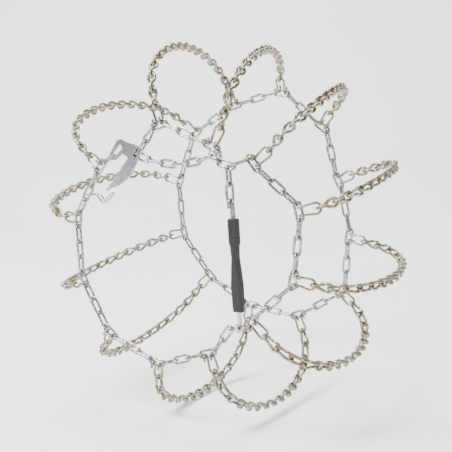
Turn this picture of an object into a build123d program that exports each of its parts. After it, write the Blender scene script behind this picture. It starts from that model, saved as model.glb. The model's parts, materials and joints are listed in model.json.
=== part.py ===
"""Tightened set of snow chains for a small tractor tyre, in the shape it takes on the tyre.

Millimetres. The wheel's axis is Y and its centre is the origin. The outer face of the wheel looks
along -Y, +Z is up, and angles in the wheel's plane run from +X towards +Z.
The tyre itself is not part of the object: its outline only shapes the path of the chains.
"""

import math
import os

from build123d import *

# Outline of the tyre that the chains lie on.
SIDE_Y = 117.0  # the side chains' planes, each side of the wheel's middle plane
WIDEST_RADIUS = 178.0  # where the tyre is widest
CROWN_HEIGHT = 64.0  # from there out to the chains over the middle of the tread

# Straight links of the side chains. A link's pitch is the free length inside it.
SIDE_WIRE = 3.2
SIDE_PITCH = 19.72
SIDE_HALF = 4.1  # from a link's long axis to the centre of its wire
SLACK = 0.5  # play left between two linked wires

# Twisted links of the cross chains.
CROSS_WIRE = 3.8
CROSS_HALF = 4.7
CROSS_LINKS = 15
CROSS_PITCH = 19.6
CROSS_SLACK = 0.6
TWIST = 45.0  # each end of a twisted link is turned this far, in opposite directions

# The outer side chain is drawn in by the lever and by the rubber strap, so its seats for the
# cross chains stand at uneven distances from the axle. Every cross chain is equally long, so the
# inner side chain is drawn out by as much as the outer one is drawn in.
OUTER_RADII = (135.5, 123, 143.5, 172, 165.5, 142, 148, 164, 166, 157, 149, 136.5)
OUTER_START = 99.0
INNER_START = 108.0
LINKS_BETWEEN_SEATS = 3
FIRST_SEAT_TILT = 8.4  # the lever pulls the first seat link round by this much
DRAWN_TOP = 1  # the section of the outer chain that carries the strap's upper end
DRAWN_TOP_CHORD = 45.0
DRAWN_TOP_LEAN = 48.0  # the edge-on links there lean out of the wheel's plane by this much
CLOSING_GAP = 5.0  # opening in the side of the link that closes the inner chain
DRAWN_BOTTOM = 5
DRAWN_BOTTOM_CHORD = 60.5
ROLLS = (4, -5, 3, -3, 5, -4, 2, 5, -4, 3, -5, 4)  # the links lie unevenly, degrees

# Hook at each end of a cross chain.
HOOK_WIRE = 3.0
HOOK_PLAY = 0.45
HOOK_EYE_PLAY = 0.7  # between the hook's eye and the first twisted link
HOOK_PRONG_Y = 4.8  # the two prongs, each side of the hook's middle, where they go round the wire
HOOK_EYE_RADIUS = 6.2
HOOK_EYE_X = 15.3
HOOK_STUB = 4.5
LEAN_FROM = 155.0  # a hook on a seat further out than this leans over the tyre's shoulder
LEAN_RATE = 1.4  # degrees for each mm further out
LEAN_MOST = 32.0

# Take-up links from the first seat to the lever, and the tail beyond them.
TAKE_UP_HEADING = 234.3
TAIL_SET_BACK = 0.6  # towards the wheel, at the take-up link
TAIL_SET_OUT = 1.0  # away from the wheel, at the clip
TAIL_SAG = Vector(0, 0.35, -1)
TAIL_LINKS = 6
TAIL_PITCH = 19.72

# Tightening lever, a plate with an eye slot and a pin behind it. Its outline is given as X and Z.
LEVER_Y = -120.2
LEVER_THICKNESS = 2.6
LEVER_BODY = ((-76, 106), (-70, 112.6), (-63.5, 111.2), (-52.5, 108.8), (-44.4, 102.6), (-45.6, 97.5))
LEVER_LEG = ((-51.2, 88.2), (-58.5, 75.4), (-68.5, 64.9), (-78.5, 57.9), (-91, 53.4), (-98, 49.2))
LEVER_INSIDE = ((-99.6, 51.6), (-91, 60.7), (-82.3, 69), (-73.5, 81.7), (-64.5, 92.5), (-72, 97))
LEVER_CORNER = 0.9
LOBE_CENTRE = (-76, 106.4)
LOBE_RADIUS = 8.8
EYE_HEADING = 26.5  # of the link that runs from the last seat to the lever's eye
EYE_RADIUS = 6.3
EYE_WIDTH = 6.2
EYE_SET_BACK = 0.2  # the hole's centre, back from the link's wire along the link
EYE_SLOT = 14.0
PIN_WIRE = 3.2
PIN_Y = -117.6
PIN_REACH = 4.0
PIN_ABOVE_END = 9.6  # the pin's place in the take-up link, above the wire of its lower end
NOTCH_WIDTH = 5.0

# Keeper ring that holds the lever's tip. Its side view is given from its pivot, towards the tip.
KEEPER_SECTION = 10
KEEPER_WIRE = 2.4
KEEPER_HALF = 3.4
KEEPER_TIP = (-91, -120.2, 45.5)
KEEPER_BENDS = ((15.4, 0), (24.4, -11))
KEEPER_CORNER = 2.5
KEEPER_SET_OFF = 3.5  # from the side chain link's long axis to the middle of the keeper's loop

# Strap tensioner: a flat steel hook at each end of a moulded rubber strap. A hook's shank widens
# towards the rubber and ends in a crossbar that the rubber is moulded round.
ROD = 2.8
ROD_BEND = 4.0
ROD_REACH = 19.0  # from the held wire to the rubber
ROD_TIP = 6.0
ROD_WIDTH = 4.2
SHANK_WIDTH = 6.2
TANG_LENGTH = 8.0  # of the shank inside the rubber, up to the crossbar
CROSSBAR = (2.6, 8.4)  # along and across the strap
POCKET_PLAY = 0.1
HIGH_SHARE = 0.68  # how far along its link of the side chain each end of the tensioner hangs
LOW_SHARE = 0.38
STRAP_THICKNESS = 8.0
STRAP_WIDTHS = ((0, 5.6), (2, 6.2), (29, 6.2), (32, 4.8), (46, 4.2), (80, 7.2), (105, 6.6))
STRAP_END_HALF_WIDTH = 6.0
STRAP_CORNER = 1.0

# Clip ring that ties up the tail of the side chain.
CLIP_WIRE = 2.0
CLIP_RADIUS = 6.1
CLIP_ALONG = 0.6
CLIP_OFFSET = 2.2  # from the ring's middle to each of the two wires it holds

BOW = SIDE_HALF - (SIDE_WIRE + SLACK) / 2  # from a joint back to the centre of a link's rounded end
REACH = SIDE_PITCH / 2 - BOW  # from a link's middle to the centre of its rounded end
RUN = LINKS_BETWEEN_SEATS * SIDE_PITCH + 2 * BOW
HOOK_BEND = (SIDE_WIRE + HOOK_WIRE) / 2 + HOOK_PLAY
NAMES = "abcdefghijkl"
COS45 = math.cos(math.radians(45))
ORIGIN = Vector(0, 0, 0)
OUTWARD = Vector(0, -1, 0)


def polar(radius, angle, y):
    """A point at a radius and angle in the wheel's plane, at a given y."""
    return Vector(radius * math.cos(math.radians(angle)), y, radius * math.sin(math.radians(angle)))


def between(start, end, share):
    return start + (end - start) * share


def heading(angle):
    """A direction in the wheel's plane."""
    return polar(1, angle, 0)


def stretched(start, end):
    """The two joints of a side chain link whose rounded ends are centred on start and end."""
    along = (end - start).normalized()
    return start - along * BOW, end + along * BOW


def square_to(vector, direction):
    """The part of a vector at right angles to a direction, at unit length."""
    return (vector - direction * vector.dot(direction)).normalized()


def link_place(start, end, normal, roll=0.0):
    """Where a link lies that spans two joints, turned by roll degrees about its own length."""
    direction = (end - start).normalized()
    turned = square_to(normal, direction).rotate(Axis(ORIGIN, direction), roll)
    return Plane(origin=between(start, end, 0.5), x_dir=direction, z_dir=turned).location


class Seat:
    """A flat link of a side chain that a cross chain hangs on."""

    def __init__(self, radius, angle, y, tilt=0.0):
        self.centre = polar(radius, angle, y)
        self.along = heading(angle - 90 + tilt)
        self.out = heading(angle + tilt)
        self.face = Vector(0, math.copysign(1, y), 0)
        lean = math.radians(min(max(radius - LEAN_FROM, 0) * LEAN_RATE, LEAN_MOST))
        self.reach = self.out * math.cos(lean) - self.face * math.sin(lean)
        self.front = self.face * math.cos(lean) + self.out * math.sin(lean)
        self.wire = self.centre + self.out * SIDE_HALF
        self.lead = self.centre + self.along * REACH
        self.trail = self.centre - self.along * REACH


def seat_ring(radii, start, chords, y, tilt=0.0):
    """Seat links set off clockwise, each so far from the last that the links between them fit."""
    seats = [Seat(radii[0], start, y, tilt)]
    for radius, chord in zip(radii[1:], chords):
        lead = seats[-1].lead
        near, far = math.hypot(lead.X, lead.Z), math.hypot(radius, REACH)
        turn = math.degrees(math.acos((near**2 + far**2 - chord**2) / (2 * near * far)))
        offset = math.degrees(math.atan2(REACH, radius))
        angle = math.degrees(math.atan2(lead.Z, lead.X)) - turn - offset
        seats.append(Seat(radius, angle, y))
    return seats


def outer_seats():
    chords = [RUN] * len(NAMES)
    chords[DRAWN_TOP] = DRAWN_TOP_CHORD
    chords[DRAWN_BOTTOM] = DRAWN_BOTTOM_CHORD
    return seat_ring(OUTER_RADII, OUTER_START, chords, -SIDE_Y, FIRST_SEAT_TILT)


def inner_seats():
    """The inner ring that closes on itself with the seats that equal cross chains leave it."""
    low, high = 280.0, 320.0
    while high - low > 1e-4:
        total = (low + high) / 2
        seats = seat_ring([total - r for r in OUTER_RADII], INNER_START, [RUN] * len(NAMES), SIDE_Y)
        gap = seats[0].trail - seats[-1].lead
        open_ring = gap.dot(seats[-1].along) > 0 and gap.length > RUN
        low, high = (low, total) if open_ring else (total, high)
    return seats


def run_spans(seats, index):
    """Where each link lies between one seat of a side chain and the next, as its two joints.

    A link that leaves a flat link at an angle swings about the centre of that link's rounded end.
    """
    start, end = seats[index].lead, seats[(index + 1) % len(seats)].trail
    along = (end - start).normalized()
    if start.Y > 0 or index not in (DRAWN_TOP, DRAWN_BOTTOM):
        first, last = start + along * BOW, end - along * BOW
        joints = [between(first, last, k / LINKS_BETWEEN_SEATS) for k in range(LINKS_BETWEEN_SEATS + 1)]
        return list(zip(joints, joints[1:]))
    chord = (end - start).length
    inward = along.rotate(Axis(ORIGIN, (0, 1, 0)), 90)
    if index == DRAWN_TOP:
        lean = math.radians(DRAWN_TOP_LEAN)
        arm = 4 * BOW + 2 * REACH * math.cos(lean)
        side = chord / 2 - REACH
        drop = inward * math.sqrt(arm**2 - side**2)
        out = OUTWARD * (2 * REACH * math.sin(lean))
        down, up = (along * side + drop).normalized(), (along * side - drop).normalized()
        low_start, low_end = start + along * side + drop + out, end - along * side + drop + out
        return [
            stretched(start + down * 2 * BOW, low_start - down * 2 * BOW),
            stretched(low_start, low_end),
            stretched(low_end + up * 2 * BOW, end - up * 2 * BOW),
        ]
    first, rest = SIDE_PITCH + 2 * BOW, 2 * SIDE_PITCH
    turn = math.acos((chord**2 + first**2 - rest**2) / (2 * chord * first))
    corner = start + (along * math.cos(turn) + inward * math.sin(turn)) * first
    away, back = (corner - start).normalized(), (end - corner).normalized()
    joints = [corner + back * (SIDE_PITCH * k - BOW) for k in range(3)]
    return [(start + away * BOW, corner - away * BOW), (joints[0], joints[1]), (joints[1], joints[2])]


def straight_link(pitch=SIDE_PITCH, wire=SIDE_WIRE, half_width=SIDE_HALF):
    """A plain welded link, long axis X, lying flat in the XY plane."""
    bend_x = (pitch + SLACK + wire) / 2 - half_width
    with BuildPart() as link:
        with BuildLine():
            side = Line((0, half_width), (bend_x, half_width))
            ThreePointArc((bend_x, half_width), (bend_x + half_width, 0), (bend_x, -half_width))
            Line((bend_x, -half_width), (0, -half_width))
        with BuildSketch(Plane(origin=side @ 0, z_dir=side % 0)):
            Circle(wire / 2)
        sweep()
        mirror(about=Plane.YZ)
    return link.part


def closing_link():
    """A link left open at one side, by which the inner chain is closed."""
    with BuildPart() as link:
        add(straight_link())
        with Locations((0, SIDE_HALF, 0)):
            Box(CLOSING_GAP, SIDE_WIRE * 2, SIDE_WIRE * 2, mode=Mode.SUBTRACT)
    return link.part


def twisted_link(pitch, wire, half_width, slack):
    """A link whose ends are turned about its long axis X, one each way, so that it lies flat."""
    bend_x = (pitch + slack + wire) / 2 - half_width
    across = half_width * math.cos(math.radians(TWIST))
    lift = half_width * math.sin(math.radians(TWIST))
    with BuildPart() as half:
        with BuildLine():
            start = TangentArc((bend_x, across, lift), (0, across, 0), tangent=(-1, 0, 0))
            ThreePointArc((bend_x, across, lift), (bend_x + half_width, 0, 0), (bend_x, -across, -lift))
            TangentArc((bend_x, -across, -lift), (0, -across, 0), tangent=(-1, 0, 0))
        with BuildSketch(Plane(origin=start @ 1, z_dir=start % 1)):
            Circle(wire / 2)
        sweep()
    with BuildPart() as link:
        with PolarLocations(0, 2):
            add(half.part)
    return link.part


def cross_hook():
    """A bent wire hook. Its two prongs go round a wire that runs along Y through the origin."""
    reach = math.hypot(HOOK_EYE_X, HOOK_PRONG_Y)
    slant = math.asin(HOOK_EYE_RADIUS / reach) - math.atan2(HOOK_PRONG_Y, HOOK_EYE_X)
    run = math.sqrt(reach**2 - HOOK_EYE_RADIUS**2)
    along = Vector(math.cos(slant), math.sin(slant), 0)
    front = Vector(0, HOOK_PRONG_Y, HOOK_BEND)
    behind = Vector(0, HOOK_PRONG_Y, -HOOK_BEND)
    swing = 0.5 * (math.pi / 2 + slant)
    eye_mid = (HOOK_EYE_X + HOOK_EYE_RADIUS * math.sin(swing), HOOK_EYE_RADIUS * math.cos(swing), -HOOK_BEND)
    with BuildPart() as hook:
        with BuildLine():
            stub = Line(front + along * HOOK_STUB, front)
            ThreePointArc(front, Vector(0, HOOK_PRONG_Y, 0) - along * HOOK_BEND, behind)
            Line(behind, behind + along * run)
            ThreePointArc(behind + along * run, eye_mid, (HOOK_EYE_X + HOOK_EYE_RADIUS, 0, -HOOK_BEND))
        with BuildSketch(Plane(origin=stub @ 0, z_dir=stub % 0)):
            Circle(HOOK_WIRE / 2)
        sweep()
        mirror(about=Plane.XZ)
    return hook.part


def hook_place(seat):
    """The hook's own frame: X away from the axle, Y along the seat link, +Z outward."""
    return Plane(origin=seat.wire, x_dir=seat.reach, z_dir=seat.front).location


def hook_joint(seat):
    """Where the first twisted link hangs in the hook's eye."""
    reach = HOOK_EYE_X + HOOK_EYE_RADIUS - HOOK_WIRE / 2 - HOOK_EYE_PLAY
    return seat.wire + seat.reach * reach - seat.front * HOOK_BEND


def cross_path(outer, inner, crown):
    """Sampled middle line of a cross chain from hook eye to hook eye."""
    first, last = hook_joint(outer), hook_joint(inner)
    low, high = math.hypot(first.X, first.Z), math.hypot(last.X, last.Z)
    half = SIDE_Y - HOOK_BEND
    profile = [(low, first.Y)]
    for k in range(181):
        angle = math.radians(k)
        radius, y = WIDEST_RADIUS + crown * math.sin(angle), -half * math.cos(angle)
        if radius > (low if y < 0 else high) + 3 and first.Y < y < last.Y:
            profile.append((radius, y))
    profile.append((high, last.Y))
    lengths = [0.0]
    for before, after in zip(profile, profile[1:]):
        lengths.append(lengths[-1] + math.hypot(after[0] - before[0], after[1] - before[1]))
    start = math.degrees(math.atan2(first.Z, first.X))
    swing = (math.degrees(math.atan2(last.Z, last.X)) - start + 180) % 360 - 180
    return [polar(r, start + swing * s / lengths[-1], y) for (r, y), s in zip(profile, lengths)]


def step_along(path, chord, count):
    """Joints set off along a path by equal chords, and whether they run past its end."""
    joints, index = [path[0]], 0
    path = path + [path[-1] + (path[-1] - path[-2]).normalized() * chord * count]
    while len(joints) <= count:
        while (path[index + 1] - joints[-1]).length < chord:
            index += 1
        low, high = 0.0, 1.0
        while high - low > 1e-6:
            middle = (low + high) / 2
            short = (between(path[index], path[index + 1], middle) - joints[-1]).length < chord
            low, high = (middle, high) if short else (low, middle)
        joints.append(between(path[index], path[index + 1], low))
    return joints, index == len(path) - 2


def cross_joints(outer, inner):
    """The joints of a cross chain, with its crown raised just enough to use all its links."""
    low, high = CROWN_HEIGHT - 20, CROWN_HEIGHT + 20
    while high - low > 1e-3:
        crown = (low + high) / 2
        joints, past_end = step_along(cross_path(outer, inner, crown), CROSS_PITCH, CROSS_LINKS)
        low, high = (crown, high) if past_end else (low, crown)
    return joints


def cross_links(link, joints):
    """Each twisted link a little further round, so that the chain lies flat over the tread."""
    solids = []
    for k, (start, end) in enumerate(zip(joints, joints[1:])):
        middle = between(start, end, 0.5)
        along = (end - start).normalized()
        sideways = Vector(middle.Z, 0, -middle.X).normalized()
        normal = along.cross(square_to(sideways, along))
        if normal.dot(Vector(middle.X, 0, middle.Z)) < 0:
            normal = -normal
        roll = TWIST * (2 * k / (CROSS_LINKS - 1) - 1)
        solids.append(link.moved(link_place(start, end, normal, roll)))
    return solids


def arc_chain(start, end, pitch, count, sag):
    """The joints of a slack chain that hangs in a shallow arc between two points."""
    span = (end - start).length
    low, high = 1e-4, 0.3
    while high - low > 1e-7:
        half = (low + high) / 2
        long = pitch * math.sin(count * half) / math.sin(half) > span
        low, high = (half, high) if long else (low, half)
    along = (end - start).normalized()
    down = square_to(sag, along)
    joints = [start]
    for k in range(count):
        turn = half * (count - 1 - 2 * k)
        joints.append(joints[-1] + (along * math.cos(turn) + down * math.sin(turn)) * pitch)
    return joints


def wire_end(start, end, overhang=(SLACK + SIDE_WIRE) / 2):
    """The centre of the wire at the far end of a link that spans two joints."""
    return end + (end - start).normalized() * overhang


def lever(eye, pin, take_up):
    """Tightening lever: eye plate, bent leg, and the pin that the take-up link hangs on."""
    face = Plane(origin=(0, LEVER_Y, 0), x_dir=(1, 0, 0), z_dir=(0, -1, 0))
    across = take_up.cross(OUTWARD)
    rise = Vector(LOBE_CENTRE[0] - eye.X, LOBE_CENTRE[1] - eye.Z)
    turn = math.degrees(math.atan2(rise.Y, rise.X))
    side = rise.normalized().rotate(Axis.Z, 90)
    near, far = Vector(eye.X, eye.Z), Vector(*LOBE_CENTRE)
    notch = pin - take_up * 2.6
    with BuildPart() as part:
        with BuildSketch(face) as outline:
            with BuildLine():
                Polyline(*LEVER_BODY, *LEVER_LEG, *LEVER_INSIDE, close=True)
            make_face()
            fillet(outline.vertices(), LEVER_CORNER)
            with Locations(near):
                Circle(EYE_RADIUS)
            with Locations(far):
                Circle(LOBE_RADIUS)
            with BuildLine():
                Polyline(
                    near + side * EYE_RADIUS,
                    far + side * LOBE_RADIUS,
                    far - side * LOBE_RADIUS,
                    near - side * EYE_RADIUS,
                    close=True,
                )
            make_face()
            with Locations(Location(near + rise.normalized() * (EYE_SLOT / 2), (0, 0, turn))):
                SlotCenterToCenter(EYE_SLOT, EYE_WIDTH, mode=Mode.SUBTRACT)
            with Locations(Location((notch.X, notch.Z, 0), (0, 0, TAKE_UP_HEADING))):
                SlotCenterToCenter(2 * (PIN_ABOVE_END + 2.6), NOTCH_WIDTH, mode=Mode.SUBTRACT)
        extrude(amount=LEVER_THICKNESS / 2, both=True)
        with BuildSketch(Plane(origin=pin - across * PIN_REACH, z_dir=across)):
            Circle(PIN_WIRE / 2)
        extrude(amount=2 * PIN_REACH)
    return part.part


def keeper(pivot):
    """Keeper: a bent wire ring, round a link of the side chain and over the lever's tip."""
    reach = (Vector(*KEEPER_TIP) - pivot).length
    bends = [Vector(x, KEEPER_HALF, z) for x, z in KEEPER_BENDS]
    last = Vector(reach, KEEPER_HALF, 0)
    away = (last - bends[-1]).normalized() * KEEPER_HALF
    offset = Vector(0, KEEPER_HALF, 0)
    with BuildPart() as ring:
        with BuildLine():
            FilletPolyline((0, KEEPER_HALF, 0), *bends, last, radius=KEEPER_CORNER)
            rounding = (-KEEPER_HALF * COS45, KEEPER_HALF * COS45, 0)
            tail = ThreePointArc((-KEEPER_HALF, 0, 0), rounding, (0, KEEPER_HALF, 0))
            ThreePointArc(last, last - offset * (1 - COS45) + away * COS45, last - offset + away)
        with BuildSketch(Plane(origin=tail @ 0, z_dir=tail % 0)):
            Circle(KEEPER_WIRE / 2)
        sweep()
        mirror(about=Plane.XZ)
    return ring.part


def keeper_place(pivot):
    along = (Vector(*KEEPER_TIP) - pivot).normalized()
    return Plane(origin=pivot, x_dir=along, z_dir=square_to(Vector(0, 0, 1), along)).location


def tang(play=0.0):
    """A hook's shank from the bend to the crossbar, along X, with play added on every side."""
    ends = (
        (0, ROD_WIDTH),
        (ROD_REACH + TANG_LENGTH - play, SHANK_WIDTH),
        (ROD_REACH + TANG_LENGTH - play, CROSSBAR[1]),
        (ROD_REACH + TANG_LENGTH + CROSSBAR[0] + play, CROSSBAR[1]),
    )
    upper = [(x, width / 2 + play) for x, width in ends]
    lower = [(x, -y) for x, y in reversed(upper)]
    with BuildPart() as part:
        with BuildSketch(Plane(origin=(0, 0, -ROD_BEND))):
            with BuildLine():
                Polyline(*upper, *lower, close=True)
            make_face()
        extrude(amount=ROD / 2 + play, both=True)
    return part.part


def strap_hook():
    """Steel hook round a wire along Y at the origin, with its shank behind it along X."""
    with BuildPart() as hook:
        with BuildLine():
            tip = Line((ROD_TIP, 0, ROD_BEND), (0, 0, ROD_BEND))
            ThreePointArc((0, 0, ROD_BEND), (-ROD_BEND, 0, 0), (0, 0, -ROD_BEND))
        with BuildSketch(Plane(origin=tip @ 0, x_dir=(0, 1, 0), z_dir=tip % 0)):
            RectangleRounded(ROD_WIDTH, ROD, ROD / 3)
        sweep()
        add(tang())
    return hook.part


def strap(length):
    """Moulded rubber strap along X from the origin, with a pocket for a hook's tang in each end."""
    outline = list(STRAP_WIDTHS) + [(length, STRAP_END_HALF_WIDTH)]
    points = outline + [(x, -w) for x, w in reversed(outline)]
    pocket = tang(POCKET_PLAY)
    with BuildPart() as part:
        with BuildSketch(Plane(origin=(0, 0, -ROD_BEND))):
            with BuildLine():
                Polyline(*points, close=True)
            make_face()
        extrude(amount=STRAP_THICKNESS / 2, both=True)
        long_edges = part.edges().filter_by(Axis.Z, reverse=True)
        chamfer(long_edges, STRAP_CORNER)
        add(pocket.moved(Location((-ROD_REACH, 0, 0))), mode=Mode.SUBTRACT)
        turned = pocket.mirror(Plane.YZ).moved(Location((length + ROD_REACH, 0, 0)))
        add(turned, mode=Mode.SUBTRACT)
    return part.part


def ring_part(wire, radius):
    with BuildPart() as ring:
        Torus(radius, wire / 2)
    return ring.part


def export(name, solids):
    group = Compound(label=name, children=list(solids))
    export_step(group, f"parts/{name}.step")


def run_links(seat, spans, index, shift):
    """A seat link and the three links beyond it, edge-on, flat and edge-on."""
    link = straight_link()
    solids = [link.moved(link_place(seat.trail, seat.lead, seat.face))]
    for k, (start, end) in enumerate(spans):
        roll = 90.0 if k != 1 else 0.0
        if index not in (DRAWN_TOP, DRAWN_BOTTOM):
            roll += ROLLS[(index + k + shift) % len(ROLLS)]
        solids.append(link.moved(link_place(start, end, seat.face, roll)))
    return solids


os.makedirs("parts", exist_ok=True)
outer, inner = outer_seats(), inner_seats()
outer_runs = [run_spans(outer, k) for k in range(len(NAMES) - 1)]
inner_runs = [run_spans(inner, k) for k in range(len(NAMES))]
side_link = straight_link()

for index, name in enumerate(NAMES[:-1]):
    export(f"outer_chain_{name}", run_links(outer[index], outer_runs[index], index, 0))
for index, name in enumerate(NAMES):
    solids = run_links(inner[index], inner_runs[index], index + len(NAMES), 5)
    if index == len(NAMES) - 1:
        start, end = inner_runs[index][1]
        export("inner_closing_link", [closing_link().moved(link_place(start, end, inner[index].face))])
        del solids[2]
    export(f"inner_chain_{name}", solids)

cross_link = twisted_link(CROSS_PITCH, CROSS_WIRE, CROSS_HALF, CROSS_SLACK)
hook = cross_hook()
for name, near, far in zip(NAMES, outer, inner):
    export(f"cross_chain_{name}", cross_links(cross_link, cross_joints(near, far)))
    export(f"cross_hooks_{name}", [hook.moved(hook_place(near)), hook.moved(hook_place(far))])

# From the last seat a link leads to the lever's eye.
eye_start = outer[-1].lead + heading(EYE_HEADING) * BOW + OUTWARD * 0.4
eye_joint = eye_start + heading(EYE_HEADING) * SIDE_PITCH + OUTWARD * 2.2
eye = wire_end(eye_start, eye_joint)
last_seat = side_link.moved(link_place(outer[-1].trail, outer[-1].lead, OUTWARD))
eye_link = side_link.moved(link_place(eye_start, eye_joint, OUTWARD, 90))
export("outer_chain_l", [last_seat, eye_link])

# From the first seat two links lead to the lever's pin, and the tail goes on from there.
take_up = heading(TAKE_UP_HEADING)
twist_start = outer[0].trail + take_up * BOW
twist_end = twist_start + take_up * SIDE_PITCH
take_up_end = wire_end(twist_end, twist_end + take_up * SIDE_PITCH)
joining = twisted_link(SIDE_PITCH, SIDE_WIRE, SIDE_HALF, SLACK)
joining = joining.moved(link_place(twist_start, twist_end, OUTWARD, -TWIST))
take_up_link = side_link.moved(link_place(twist_end, twist_end + take_up * SIDE_PITCH, OUTWARD, 90))
export("take_up_links", [joining, take_up_link])

pin = take_up_end - take_up * PIN_ABOVE_END
pin = Vector(pin.X, PIN_Y, pin.Z)
export("lever", [lever(eye - heading(EYE_HEADING) * EYE_SET_BACK, pin, take_up)])

keeper_link = outer_runs[KEEPER_SECTION][1]
keeper_along = (keeper_link[1] - keeper_link[0]).normalized()
keeper_pivot = between(*keeper_link, 0.5) + keeper_along.rotate(Axis(ORIGIN, (0, 1, 0)), 90) * KEEPER_SET_OFF
export("keeper", [keeper(keeper_pivot).moved(keeper_place(keeper_pivot))])

# The strap hangs on two links below the drawn-in part of the outer chain.
drawn = outer_runs[DRAWN_TOP][1]
drawn_along = (drawn[1] - drawn[0]).normalized()
drawn_in = drawn_along.cross(square_to(OUTWARD, drawn_along))
drawn_wire = between(*drawn, HIGH_SHARE) + drawn_in * SIDE_HALF
low_link = outer_runs[DRAWN_BOTTOM][0]
held_low = between(*low_link, LOW_SHARE) + OUTWARD * SIDE_HALF
pull = (held_low - drawn_wire).normalized()
joints = [drawn_wire + pull * (SIDE_PITCH * k - (SIDE_WIRE + SLACK) / 2) for k in range(3)]
links = [side_link.moved(link_place(joints[k], joints[k + 1], OUTWARD, 90 - 90 * k)) for k in range(2)]
export("strap_links", links)
held_high = wire_end(joints[1], joints[2])
top_place = Plane(origin=held_high, x_dir=pull, z_dir=square_to(OUTWARD, pull))
low_place = Plane(origin=held_low, x_dir=-pull, z_dir=square_to(OUTWARD, pull))
export("strap_top_hook", [strap_hook().moved(top_place.location)])
export("strap_bottom_hook", [strap_hook().moved(low_place.location)])
strap_place = Plane(origin=held_high + pull * ROD_REACH, x_dir=pull, z_dir=square_to(OUTWARD, pull))
strap_length = (held_low - held_high).length - 2 * ROD_REACH
export("strap", [strap(strap_length).moved(strap_place.location)])

# The tail hangs from the take-up link to a clip on the side chain.
strand_link = outer_runs[DRAWN_TOP][0]
strand_along = (strand_link[1] - strand_link[0]).normalized()
strand = between(*strand_link, CLIP_ALONG) + square_to(OUTWARD, strand_along) * SIDE_HALF
clip_normal = (strand_along + OUTWARD * 0.5).normalized()
clip_side = square_to(Vector(-1, 0, 0), clip_normal)
clip_place = Plane(origin=strand + clip_side * CLIP_OFFSET, z_dir=clip_normal)
export("tail_clip", [ring_part(CLIP_WIRE, CLIP_RADIUS).moved(clip_place.location)])
tail_first = take_up_end - OUTWARD * TAIL_SET_BACK
tail_last = strand + clip_side * 2 * CLIP_OFFSET + OUTWARD * TAIL_SET_OUT
tail = [tail_first, tail_last]
for _ in range(3):
    leaving, arriving = (tail[1] - tail[0]).normalized(), (tail[-1] - tail[-2]).normalized()
    overhang = (SIDE_WIRE + SLACK) / 2
    start, end = tail_first - leaving * overhang, tail_last - arriving * overhang
    tail = arc_chain(start, end, TAIL_PITCH, TAIL_LINKS, TAIL_SAG)
tail_places = [link_place(tail[k], tail[k + 1], OUTWARD, 90 * (k % 2)) for k in range(TAIL_LINKS)]
export("tail_chain", [side_link.moved(place) for place in tail_places])
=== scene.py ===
"""Snow chains in the shape they take on a small tractor tyre, on a plain pale floor."""

import json
import math

import bmesh
import bpy
import numpy as np
from mathutils import Matrix, Vector


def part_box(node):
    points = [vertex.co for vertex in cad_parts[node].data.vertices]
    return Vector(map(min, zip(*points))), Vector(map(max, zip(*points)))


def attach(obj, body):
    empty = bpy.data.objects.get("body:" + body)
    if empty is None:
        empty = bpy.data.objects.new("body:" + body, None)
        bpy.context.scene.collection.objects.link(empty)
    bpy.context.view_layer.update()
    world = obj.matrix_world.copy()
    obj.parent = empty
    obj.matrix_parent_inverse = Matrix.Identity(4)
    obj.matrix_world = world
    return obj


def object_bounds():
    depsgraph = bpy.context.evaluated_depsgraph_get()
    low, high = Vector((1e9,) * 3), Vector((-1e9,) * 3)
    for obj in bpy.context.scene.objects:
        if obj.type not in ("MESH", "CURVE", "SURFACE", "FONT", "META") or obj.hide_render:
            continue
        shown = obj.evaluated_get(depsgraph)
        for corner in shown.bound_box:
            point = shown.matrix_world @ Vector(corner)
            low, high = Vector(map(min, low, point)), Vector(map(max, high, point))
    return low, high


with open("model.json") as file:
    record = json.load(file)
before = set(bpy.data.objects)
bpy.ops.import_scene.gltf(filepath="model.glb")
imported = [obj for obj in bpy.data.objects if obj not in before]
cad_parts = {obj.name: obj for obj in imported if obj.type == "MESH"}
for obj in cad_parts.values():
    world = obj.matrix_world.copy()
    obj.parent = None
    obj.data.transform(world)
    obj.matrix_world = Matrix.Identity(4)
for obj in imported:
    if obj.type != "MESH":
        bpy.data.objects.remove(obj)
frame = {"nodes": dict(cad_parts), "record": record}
cad_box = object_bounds()
nodes = frame["nodes"]
bodies = frame["record"]["behaviour"]["bodies"]
body_of_node = {node: body for body, members in bodies.items() for node in members}
MM = 0.001

# Camera, at the viewing angle of a three-quarter product view.
AZIMUTH, ELEVATION = 30.3, 8.4
DISTANCE, FIELD_OF_VIEW, ROLL = 1.1405, 29.5, 0.55
TARGET = Vector((0.005, 0.0, -0.0013))
SENSOR_WIDTH = 36.0


# ---------------------------------------------------------------- materials


def new_material(name):
    material = bpy.data.materials.new(name)
    material.use_nodes = True
    tree = material.node_tree
    return material, tree, tree.nodes["Principled BSDF"]


def add_noise(tree, coords, scale, detail=4.0, rough=0.55):
    noise = tree.nodes.new("ShaderNodeTexNoise")
    noise.inputs["Scale"].default_value = scale
    noise.inputs["Detail"].default_value = detail
    noise.inputs["Roughness"].default_value = rough
    tree.links.new(coords, noise.inputs["Vector"])
    return noise.outputs["Fac"]


def add_ramp(tree, value, stops):
    ramp = tree.nodes.new("ShaderNodeValToRGB")
    elements = ramp.color_ramp.elements
    while len(elements) < len(stops):
        elements.new(0.5)
    for element, (position, color) in zip(elements, stops):
        element.position = position
        element.color = (*color, 1.0)
    tree.links.new(value, ramp.inputs["Fac"])
    return ramp.outputs["Color"]


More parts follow.
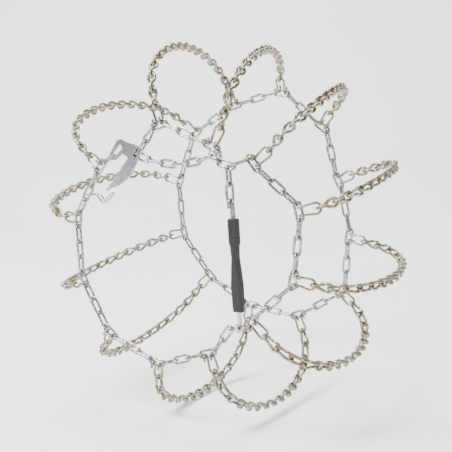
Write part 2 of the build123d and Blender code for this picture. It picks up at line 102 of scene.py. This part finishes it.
def add_mix(tree, factor, first, second, blend="MIX"):
    mix = tree.nodes.new("ShaderNodeMix")
    mix.data_type = "RGBA"
    mix.blend_type = blend
    for value, socket in ((factor, mix.inputs[0]), (first, mix.inputs[6]), (second, mix.inputs[7])):
        if isinstance(value, bpy.types.NodeSocket):
            tree.links.new(value, socket)
        elif isinstance(value, tuple):
            socket.default_value = (*value, 1.0)
        else:
            socket.default_value = value
    return mix.outputs[2]


def grey(value):
    return (value, value, value)


def set_bump(tree, shader, height, strength, distance):
    bump = tree.nodes.new("ShaderNodeBump")
    bump.inputs["Strength"].default_value = strength
    bump.inputs["Distance"].default_value = distance
    tree.links.new(height, bump.inputs["Height"])
    tree.links.new(bump.outputs["Normal"], shader.inputs["Normal"])


def plated_steel(name, pale, dull, tint, tint_share, rust_share, rough, bump=0.25):
    """Plated steel: pale plate that dulls in patches, tinted places, and a little rust."""
    material, tree, shader = new_material(name)
    coords = tree.nodes.new("ShaderNodeTexCoord").outputs["Object"]
    broad = add_noise(tree, coords, 60.0)
    medium = add_noise(tree, coords, 260.0)
    fine = add_noise(tree, coords, 1400.0, 6.0, 0.7)
    plate = add_mix(tree, add_ramp(tree, medium, [(0.35, grey(0)), (0.65, grey(1))]), dull, pale)
    low = 0.62 - 0.3 * tint_share
    tint_mask = add_ramp(tree, broad, [(low, grey(0)), (low + 0.16, grey(tint_share))])
    tinted = add_mix(tree, tint_mask, plate, tint)
    speck_noise = add_noise(tree, coords, 520.0, 5.0, 0.65)
    speck = add_ramp(tree, speck_noise, [(0.6, grey(0)), (0.72, grey(rust_share))])
    tree.links.new(add_mix(tree, speck, tinted, (0.16, 0.075, 0.03)), shader.inputs["Base Color"])
    spread = add_ramp(tree, medium, [(0.3, grey(rough + 0.12)), (0.7, grey(rough - 0.06))])
    tree.links.new(spread, shader.inputs["Roughness"])
    shader.inputs["Metallic"].default_value = 1.0
    set_bump(tree, shader, fine, bump, 0.0004)
    return material


def moulded_rubber(name):
    """Black moulded rubber with a fine grain, a little paler where it is scuffed."""
    material, tree, shader = new_material(name)
    coords = tree.nodes.new("ShaderNodeTexCoord").outputs["Object"]
    grain = add_noise(tree, coords, 900.0, 5.0, 0.6)
    scuff = add_noise(tree, coords, 90.0, 6.0, 0.7)
    color = add_ramp(tree, scuff, [(0.35, (0.004, 0.004, 0.0045)), (0.68, (0.013, 0.013, 0.014))])
    tree.links.new(color, shader.inputs["Base Color"])
    spread = add_ramp(tree, grain, [(0.3, grey(0.5)), (0.7, grey(0.7))])
    tree.links.new(spread, shader.inputs["Roughness"])
    set_bump(tree, shader, grain, 0.3, 0.0005)
    return material


def plain_floor(name):
    material, tree, shader = new_material(name)
    coords = tree.nodes.new("ShaderNodeTexCoord").outputs["Object"]
    tone = add_ramp(tree, add_noise(tree, coords, 1.5, 2.0), [(0.3, grey(0.88)), (0.7, grey(0.92))])
    tree.links.new(tone, shader.inputs["Base Color"])
    shader.inputs["Roughness"].default_value = 0.85
    return material


materials = {
    "side_steel": plated_steel(
        "zinc_plate",
        pale=(0.56, 0.56, 0.53),
        dull=(0.15, 0.15, 0.135),
        tint=(0.22, 0.20, 0.13),
        tint_share=0.5,
        rust_share=0.3,
        rough=0.22,
    ),
    "cross_steel": plated_steel(
        "worn_plate",
        pale=(0.52, 0.50, 0.42),
        dull=(0.13, 0.115, 0.08),
        tint=(0.25, 0.185, 0.085),
        tint_share=0.65,
        rust_share=0.7,
        rough=0.25,
    ),
    "bright_steel": plated_steel(
        "bright_plate",
        pale=(0.62, 0.63, 0.65),
        dull=(0.36, 0.37, 0.39),
        tint=(0.4, 0.4, 0.37),
        tint_share=0.2,
        rust_share=0.06,
        rough=0.2,
        bump=0.06,
    ),
    "grey_steel": plated_steel(
        "grey_plate",
        pale=(0.32, 0.33, 0.34),
        dull=(0.15, 0.15, 0.16),
        tint=(0.18, 0.165, 0.14),
        tint_share=0.3,
        rust_share=0.15,
        rough=0.36,
    ),
    "strap_rubber": moulded_rubber("strap_rubber_black"),
}
slot_of_node = {part["node"]: part["material_slot"] for part in frame["record"]["subparts"]}
for node, obj in nodes.items():
    for material_slot in obj.material_slots:
        material_slot.material = materials[slot_of_node[node]]


# ---------------------------------------------------------------- added pieces


def add_piece(name, mesh, body, slot, smooth=True):
    piece = bpy.data.objects.new(name, mesh)
    bpy.context.scene.collection.objects.link(piece)
    mesh.materials.append(materials[slot])
    if smooth:
        mesh.polygons.foreach_set("use_smooth", [True] * len(mesh.polygons))
    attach(piece, body)
    return piece


def as_mesh(name, shape):
    """A mesh from the finished edit mesh, which is freed."""
    mesh = bpy.data.meshes.new(name)
    shape.to_mesh(mesh)
    shape.free()
    return mesh


def islands(obj):
    """The corner points of each separate solid in a CAD node."""
    mesh = bmesh.new()
    mesh.from_mesh(obj.data)
    bmesh.ops.remove_doubles(mesh, verts=mesh.verts, dist=1e-6)
    mesh.verts.ensure_lookup_table()
    seen, groups = set(), []
    for vert in mesh.verts:
        if vert.index in seen:
            continue
        stack, group = [vert], []
        seen.add(vert.index)
        while stack:
            current = stack.pop()
            group.append(current.co.copy())
            for edge in current.link_edges:
                other = edge.other_vert(current)
                if other.index not in seen:
                    seen.add(other.index)
                    stack.append(other)
        groups.append(np.array(group))
    mesh.free()
    return groups


def link_frame(points):
    """Middle, long axis and width axis of a chain link."""
    middle = points.mean(0)
    values, axes = np.linalg.eigh(np.cov((points - middle).T))
    return Vector(middle), Vector(axes[:, 2]), Vector(axes[:, 1])


def placed_along(centre, axis):
    """The matrix that puts a shape at the centre with its Z along the axis."""
    return Matrix.Translation(centre) @ axis.to_track_quat("Z", "Y").to_matrix().to_4x4()


def add_bead(mesh, centre, along, radius, length):
    """A weld bead: a short swelling round the wire."""
    place = placed_along(centre, along) @ Matrix.Diagonal((radius, radius, length / 2, 1.0))
    bmesh.ops.create_uvsphere(mesh, u_segments=14, v_segments=9, radius=1.0, matrix=place)


# A bead stands a little proud of the wire, which is 3.2 mm thick in the side chains and 3.8 mm
# in the cross chains. The band and the fewest points find the two sides of a twisted link.
SIDE_BEAD_OFFSET, SIDE_BEAD_RADIUS, SIDE_BEAD_LENGTH = 4.1 * MM, 1.95 * MM, 4.2 * MM
CROSS_BEAD_RADIUS, CROSS_BEAD_LENGTH = 2.25 * MM, 4.6 * MM
MIDDLE_BAND = 0.6 * MM
FEWEST_POINTS = 6


def weld_beads(members):
    """The welds of flat links, each in the middle of one straight side."""
    beads = bmesh.new()
    for node in members:
        for points in islands(nodes[node]):
            middle, along, wide = link_frame(points)
            side = wide * (SIDE_BEAD_OFFSET if along.x + along.z > 0 else -SIDE_BEAD_OFFSET)
            add_bead(beads, middle + side, along, SIDE_BEAD_RADIUS, SIDE_BEAD_LENGTH)
    return as_mesh("weld_beads", beads)


for ring in ("outer_chain", "inner_chain"):
    members = sorted(node for node in nodes if node.startswith(ring))
    add_piece(ring + "_welds", weld_beads(members), "side_chains", "side_steel")
for node in ("tail_chain", "strap_links"):
    add_piece(node + "_welds", weld_beads([node]), body_of_node[node], "side_steel")


def twisted_welds(node):
    """On a twisted link the weld sits where the two arcs of one side meet, at mid length."""
    beads = bmesh.new()
    for points in islands(nodes[node]):
        middle, along, _ = link_frame(points)
        offset = points - np.array(middle)
        lengthwise = offset @ np.array(along)
        near = offset[np.abs(lengthwise) < MIDDLE_BAND]
        if len(near) < FEWEST_POINTS:
            continue
        group = near[(near @ near[0]) > 0]
        place = middle + Vector(group.mean(0))
        add_bead(beads, place, along, CROSS_BEAD_RADIUS, CROSS_BEAD_LENGTH)
    return as_mesh(node + "_welds", beads)


for letter in "abcdefghijkl":
    weld_mesh = twisted_welds(f"cross_chain_{letter}")
    add_piece(f"cross_welds_{letter}", weld_mesh, f"cross_{letter}", "cross_steel")


RIM_WIDTH, RIM_HEIGHT = 1.1 * MM, 0.6 * MM
FACE_PLAY = 0.05 * MM


def extrude(shape, faces, step):
    """Extrudes the faces by a step and gives the points at the far end."""
    grown = bmesh.ops.extrude_face_region(shape, geom=faces)["geom"]
    lifted = [item for item in grown if isinstance(item, bmesh.types.BMVert)]
    bmesh.ops.translate(shape, verts=lifted, vec=step)
    return lifted


def raised_rim(node, width, height):
    """A rim along the edge of the plate's outward face and round its holes."""
    rim = bmesh.new()
    rim.from_mesh(nodes[node].data)
    bmesh.ops.remove_doubles(rim, verts=rim.verts, dist=1e-6)
    face_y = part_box(node)[0].y
    behind = [
        face
        for face in rim.faces
        if face.normal.y > -0.99 or abs(face.calc_center_median().y - face_y) > FACE_PLAY
    ]
    bmesh.ops.delete(rim, geom=behind, context="FACES")
    inside = list(rim.faces)
    bmesh.ops.inset_region(
        rim, faces=inside, thickness=width, use_even_offset=True, use_boundary=True
    )
    bmesh.ops.delete(rim, geom=inside, context="FACES")
    extrude(rim, list(rim.faces), Vector((0, -height, 0)))
    bmesh.ops.recalc_face_normals(rim, faces=rim.faces)
    return as_mesh(node + "_rim", rim)


rim_mesh = raised_rim("lever", RIM_WIDTH, RIM_HEIGHT)
add_piece("lever_rim", rim_mesh, "lever", "bright_steel", smooth=False)


RIVET_RADIUS, RIVET_HEIGHT = 1.5 * MM, 0.7 * MM
RIVET_OFFSET = 4.6 * MM
DOME_SIDES = 28
# Shares of the dome's radius and height, from its foot to its top.
DOME_PROFILE = ((1, 0), (1, 0.25), (0.93, 0.5), (0.75, 0.8), (0.4, 0.97), (0.12, 1))


def add_dome(mesh, centre, axis, radius, height):
    """A rivet head: a low dome with a flat skirt."""
    place = placed_along(centre, axis)
    angles = [2 * math.pi * k / DOME_SIDES for k in range(DOME_SIDES)]
    loops = []
    for radius_share, height_share in DOME_PROFILE:
        r, h = radius_share * radius, height_share * height
        ring = [place @ Vector((r * math.cos(t), r * math.sin(t), h)) for t in angles]
        loops.append([mesh.verts.new(point) for point in ring])
    for lower, upper in zip(loops, loops[1:]):
        for k in range(DOME_SIDES):
            after = (k + 1) % DOME_SIDES
            mesh.faces.new((lower[k], lower[after], upper[after], upper[k]))
    mesh.faces.new(loops[-1])


# The lever's pin is riveted over at each side of the notch.
joint_of_name = {joint["name"]: joint for joint in frame["record"]["behaviour"]["joints"]}
pin_at = Vector(joint_of_name["lever_lift"]["pos_m"])
lever_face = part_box("lever")[0].y
outward = Vector((0, -1, 0))
notch_across = Vector((-0.81, 0.0, 0.58)).normalized()
rivets = bmesh.new()
for side in (-RIVET_OFFSET, RIVET_OFFSET):
    place = pin_at + notch_across * side
    foot = Vector((place.x, lever_face, place.z))
    add_dome(rivets, foot, outward, RIVET_RADIUS, RIVET_HEIGHT)
add_piece("lever_rivets", as_mesh("lever_rivets", rivets), "lever", "bright_steel")

# ---------------------------------------------------------------- strap mouldings

strap_points = islands(nodes["strap"])[0]
centre, lengthways, _ = link_frame(strap_points)
if lengthways.z > 0:
    lengthways = -lengthways
facing = (outward - lengthways * outward.dot(lengthways)).normalized()
widthways = facing.cross(lengthways)
from_centre = strap_points - np.array(centre)
along_strap = from_centre @ np.array(lengthways)
out_of_strap = from_centre @ np.array(facing)
across_strap = from_centre @ np.array(widthways)
mid_width = widthways * (across_strap.min() + across_strap.max()) / 2
top_end = centre + lengthways * along_strap.min() + facing * out_of_strap.max() + mid_width


def strap_at(x, y, z):
    """A point on the strap: along it from its top end, across it, and out of its face."""
    return top_end + (lengthways * x + widthways * y + facing * z) * MM


SLAB_FOOT = -0.3  # a pad starts inside the strap's face
RIBS, RIB_START, RIB_STEP, RIB_LENGTH, RIB_HALF_WIDTH = 6, 5.0, 3.6, 1.5, 4.9
# The upper edge, as distance from the strap's top end and half width, of each of the other pads.
BLOCK_EDGE = [(28.2, 5.0), (30.4, 4.6)]
PALM_PAD = [(50.0, 2.2), (58.0, 2.8), (80.0, 4.9), (100.0, 4.5), (103.0, 3.2)]
NECK_RIDGE = [(34.0, 1.0), (47.0, 1.0)]


def add_slab(mesh, half, top, soften):
    """A moulded pad on the strap with softened edges, from one half of its outline, in mm."""
    outline = half + [(x, -y) for x, y in reversed(half)]
    base = mesh.faces.new([mesh.verts.new(strap_at(x, y, SLAB_FOOT)) for x, y in outline])
    lifted = extrude(mesh, [base], facing * (top - SLAB_FOOT) * MM)
    edges = list(dict.fromkeys(edge for vert in lifted for edge in vert.link_edges))
    bmesh.ops.bevel(
        mesh, geom=edges, offset=soften * MM, segments=3, profile=0.5, affect="EDGES"
    )


mouldings = bmesh.new()
for k in range(RIBS):
    x = RIB_START + RIB_STEP * k
    rib = [(x, RIB_HALF_WIDTH), (x + RIB_LENGTH, RIB_HALF_WIDTH)]
    add_slab(mouldings, rib, top=0.7, soften=0.3)
add_slab(mouldings, BLOCK_EDGE, top=0.9, soften=0.35)
add_slab(mouldings, PALM_PAD, top=0.6, soften=0.4)
add_slab(mouldings, NECK_RIDGE, top=0.7, soften=0.3)
bmesh.ops.recalc_face_normals(mouldings, faces=mouldings.faces)
moulding_mesh = as_mesh("strap_mouldings", mouldings)
add_piece("strap_mouldings", moulding_mesh, "strap", "strap_rubber", smooth=False)

# ---------------------------------------------------------------- floor, light, camera

azimuth, elevation = math.radians(AZIMUTH), math.radians(ELEVATION)
away = Vector((-math.sin(azimuth), math.cos(azimuth), 0))
rightwards = Vector((math.cos(azimuth), math.sin(azimuth), 0))


# Metres, measured away from the viewer, from the object's middle.
FLOOR_REACH, NEAR_FLOOR, SWEEP_START = 150.0, 4.0, 1.3
SWEEP_RADIUS, SWEEP_STEPS, WALL_HEIGHT = 1.2, 16, 5.0


def swept_backdrop(floor_z):
    """Floor that runs level behind the object and then curves up into a wall."""
    profile = [(-FLOOR_REACH, 0.0), (-NEAR_FLOOR, 0.0), (SWEEP_START, 0.0)]
    for k in range(1, SWEEP_STEPS + 1):
        turn = math.pi / 2 * k / SWEEP_STEPS
        depth = SWEEP_START + SWEEP_RADIUS * math.sin(turn)
        profile.append((depth, SWEEP_RADIUS * (1 - math.cos(turn))))
    profile.append((SWEEP_START + SWEEP_RADIUS, WALL_HEIGHT))
    sweep = bmesh.new()
    rows = []
    for side in (-FLOOR_REACH, FLOOR_REACH):
        start = rightwards * side + Vector((0, 0, floor_z))
        points = [start + away * depth + Vector((0, 0, height)) for depth, height in profile]
        rows.append([sweep.verts.new(point) for point in points])
    for k in range(len(profile) - 1):
        sweep.faces.new((rows[0][k], rows[1][k], rows[1][k + 1], rows[0][k + 1]))
    mesh = as_mesh("floor", sweep)
    mesh.polygons.foreach_set("use_smooth", [True] * len(mesh.polygons))
    return mesh


floor = bpy.data.objects.new("floor", swept_backdrop(cad_box[0].z))
bpy.context.scene.collection.objects.link(floor)
floor.data.materials.append(plain_floor("floor_pale"))

# Bright overhead, dim at the level of the horizon, so that round wire shows its shape.
world = bpy.data.worlds.new("studio")
bpy.context.scene.world = world
world.use_nodes = True
sky = world.node_tree
direction = sky.nodes.new("ShaderNodeTexCoord").outputs["Generated"]
split = sky.nodes.new("ShaderNodeSeparateXYZ")
sky.links.new(direction, split.inputs[0])
gradient = [(0.0, grey(0.03)), (0.35, grey(0.06)), (0.65, grey(0.75)), (1.0, grey(1.0))]
shade = add_ramp(sky, split.outputs[2], gradient)
sky.links.new(shade, sky.nodes["Background"].inputs["Color"])
sky.nodes["Background"].inputs["Strength"].default_value = 0.8


def add_area_light(name, location, aim, size, power):
    data = bpy.data.lights.new(name, "AREA")
    data.shape = "SQUARE"
    data.size = size
    data.energy = power
    light = bpy.data.objects.new(name, data)
    bpy.context.scene.collection.objects.link(light)
    light.location = location
    light.rotation_mode = "QUATERNION"
    light.rotation_quaternion = (Vector(aim) - Vector(location)).to_track_quat("-Z", "Y")


key_at = rightwards * -1.5 - away * 0.9 + Vector((0, 0, 2.0))
wall_at = away * 0.9 + Vector((0, 0, 3.2))
front_at = rightwards * 0.9 - away * 2.2 + Vector((0, 0, 0.9))
add_area_light("key", key_at, aim=(0, 0, 0), size=0.9, power=150.0)
add_area_light("wall", wall_at, aim=away * 2.2 + Vector((0, 0, 0.3)), size=2.2, power=190.0)
add_area_light("front", front_at, aim=(0, 0, 0), size=0.7, power=22.0)

back = Vector(
    (
        math.sin(azimuth) * math.cos(elevation),
        -math.cos(azimuth) * math.cos(elevation),
        math.sin(elevation),
    )
)
camera_data = bpy.data.cameras.new("camera")
camera_data.sensor_width = SENSOR_WIDTH
camera_data.lens = SENSOR_WIDTH / 2 / math.tan(math.radians(FIELD_OF_VIEW / 2))
camera_data.clip_start, camera_data.clip_end = 0.05, 400.0
camera = bpy.data.objects.new("camera", camera_data)
bpy.context.scene.collection.objects.link(camera)
camera.location = TARGET + back * DISTANCE
camera.rotation_mode = "QUATERNION"
upright = (-back).to_track_quat("-Z", "Y")
camera.rotation_quaternion = upright @ Matrix.Rotation(math.radians(ROLL), 4, "Z").to_quaternion()
bpy.context.scene.camera = camera
